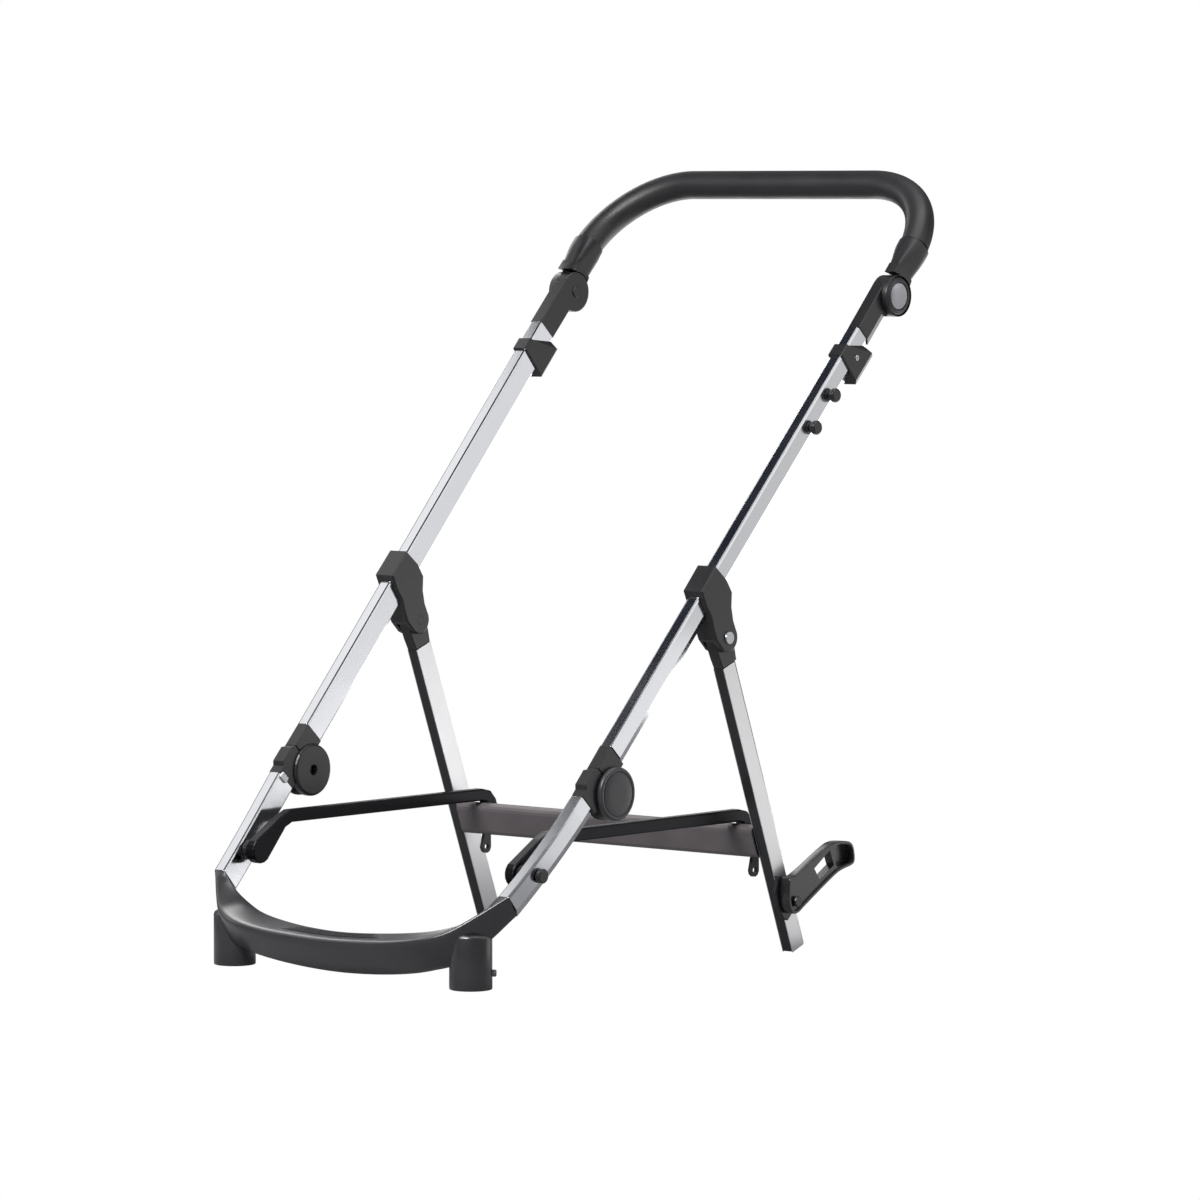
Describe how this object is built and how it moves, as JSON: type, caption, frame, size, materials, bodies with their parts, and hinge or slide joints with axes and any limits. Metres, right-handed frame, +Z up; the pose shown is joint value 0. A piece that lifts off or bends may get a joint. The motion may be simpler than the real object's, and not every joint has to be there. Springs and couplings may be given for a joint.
{
  "type": "stroller frame",
  "caption": "Folding stroller frame: two sloping rails with fold hubs, front arch with wheel sockets, rear legs with crossbar and struts, tilting handlebar and brake pedal.",
  "frame": {"origin": "middle of the frame's footprint, on the level of the wheel sockets' and rear legs' lowest points", "axes": "+Z up, the footrest arch points to -Y and the handle to +Y, the stroller's left is +X"},
  "size_m": [0.536, 0.8496, 0.9061],
  "materials": {
    "aluminium": "satin anodised aluminium extrusion",
    "black_plastic": "satin moulded black nylon",
    "grey_plastic": "satin moulded dark grey plastic",
    "white_plastic": "moulded white acetal",
    "steel": "zinc-plated steel",
    "grip": "black leather-look grip over foam"
  },
  "bodies": {
    "upper_frame": {"upper_rail_left": "aluminium", "upper_rail_right": "aluminium", "hub_upper_left": "black_plastic", "hub_upper_right": "black_plastic", "hub_outer_cap_left": "grey_plastic", "hub_outer_cap_right": "grey_plastic", "hub_inner_cap_left": "black_plastic", "hub_inner_cap_right": "black_plastic", "hub_pin_left": "steel", "hub_pin_right": "steel", "leg_bracket_left": "black_plastic", "leg_bracket_right": "black_plastic", "leg_pin_left": "steel", "leg_pin_right": "steel", "handle_sleeve_left": "black_plastic", "handle_sleeve_right": "black_plastic", "handle_pin_left": "steel", "handle_pin_right": "steel", "stud_lower": "black_plastic", "stud_upper": "black_plastic"},
    "front_frame": {"front_arch": "black_plastic", "lower_rail_left": "aluminium", "lower_rail_right": "aluminium", "hub_lower_left": "black_plastic", "hub_lower_right": "black_plastic", "hub_latch_left": "white_plastic", "hub_latch_right": "white_plastic", "strut_boss_left": "black_plastic", "strut_boss_right": "black_plastic", "strut_plug_left": "grey_plastic", "strut_plug_right": "grey_plastic"},
    "rear_frame": {"leg_cup_left": "black_plastic", "leg_cup_right": "black_plastic", "rear_leg_left": "aluminium", "rear_leg_right": "aluminium", "leg_strip_left": "black_plastic", "leg_strip_right": "black_plastic", "crossbar": "grey_plastic", "strut_anchor_left": "steel", "strut_anchor_right": "steel", "strut_pin_left": "steel", "strut_pin_right": "steel", "brake_base": "black_plastic", "brake_bolt": "steel"},
    "strut_left_body": {"strut_left": "aluminium"},
    "strut_right_body": {"strut_right": "aluminium"},
    "handle": {"handle_arm_left": "black_plastic", "handle_arm_right": "black_plastic", "handle_cap_left": "black_plastic", "handle_cap_right": "black_plastic", "handle_tube": "steel", "handle_grip": "grip"},
    "handle_button_left_body": {"handle_button_left": "grey_plastic"},
    "handle_button_right_body": {"handle_button_right": "grey_plastic"},
    "fold_trigger_left_body": {"fold_trigger_left": "black_plastic"},
    "fold_trigger_right_body": {"fold_trigger_right": "black_plastic"},
    "wheel_release_left": {"wheel_release_button_left": "grey_plastic"},
    "wheel_release_right": {"wheel_release_button_right": "grey_plastic"},
    "brake": {"brake_pedal": "black_plastic"}
  },
  "joints": [
    {"name": "fold", "type": "hinge", "parent": "upper_frame", "child": "front_frame", "pos_m": [0, -0.19704, 0.20766], "axis": [1, 0, 0], "range_deg": [0, 90]},
    {"name": "leg", "type": "hinge", "parent": "upper_frame", "child": "rear_frame", "pos_m": [0, -0.00655, 0.37297], "axis": [1, 0, 0], "range_deg": [0, 51]},
    {"name": "strut_left_turn", "type": "hinge", "parent": "rear_frame", "child": "strut_left_body", "pos_m": [0.197, 0.09245, 0.14161], "axis": [-1, 0, 0], "range_deg": [0, 22]},
    {"name": "strut_right_turn", "type": "hinge", "parent": "rear_frame", "child": "strut_right_body", "pos_m": [-0.197, 0.09245, 0.14161], "axis": [-1, 0, 0], "range_deg": [0, 22]},
    {"name": "handle_tilt", "type": "hinge", "parent": "upper_frame", "child": "handle", "pos_m": [0, 0.29791, 0.75855], "axis": [1, 0, 0], "range_deg": [-60, 60]},
    {"name": "brake_press", "type": "hinge", "parent": "rear_frame", "child": "brake", "pos_m": [0.2546, 0.10505, 0.0623], "axis": [-1, 0, 0], "range_deg": [0, 20]},
    {"name": "handle_button_left_push", "type": "slide", "parent": "handle", "child": "handle_button_left_body", "axis": [-1, 0, 0], "range_m": [0, 0.003], "stiffness_N_per_m": 800, "springref_m": -0.002},
    {"name": "fold_trigger_left_pull", "type": "slide", "parent": "upper_frame", "child": "fold_trigger_left_body", "axis": [0.0194, 0.6844, 0.7288], "range_m": [0, 0.006], "stiffness_N_per_m": 600, "springref_m": -0.004},
    {"name": "wheel_release_left_push", "type": "slide", "parent": "front_frame", "child": "wheel_release_left", "axis": [-0.766, -0.6428, 0], "range_m": [0, 0.002], "stiffness_N_per_m": 500, "springref_m": -0.002},
    {"name": "handle_button_right_push", "type": "slide", "parent": "handle", "child": "handle_button_right_body", "axis": [1, 0, 0], "range_m": [0, 0.003], "stiffness_N_per_m": 800, "springref_m": -0.002},
    {"name": "fold_trigger_right_pull", "type": "slide", "parent": "upper_frame", "child": "fold_trigger_right_body", "axis": [-0.0194, 0.6844, 0.7288], "range_m": [0, 0.006], "stiffness_N_per_m": 600, "springref_m": -0.004},
    {"name": "wheel_release_right_push", "type": "slide", "parent": "front_frame", "child": "wheel_release_right", "axis": [0.766, -0.6428, 0], "range_m": [0, 0.002], "stiffness_N_per_m": 500, "springref_m": -0.002}
  ],
  "couplings": [
    {"joint": "leg", "follows": "fold", "ratio": 0.55878},
    {"joint": "strut_left_turn", "follows": "fold", "ratio": 0.2379},
    {"joint": "strut_right_turn", "follows": "fold", "ratio": 0.2379}
  ]
}
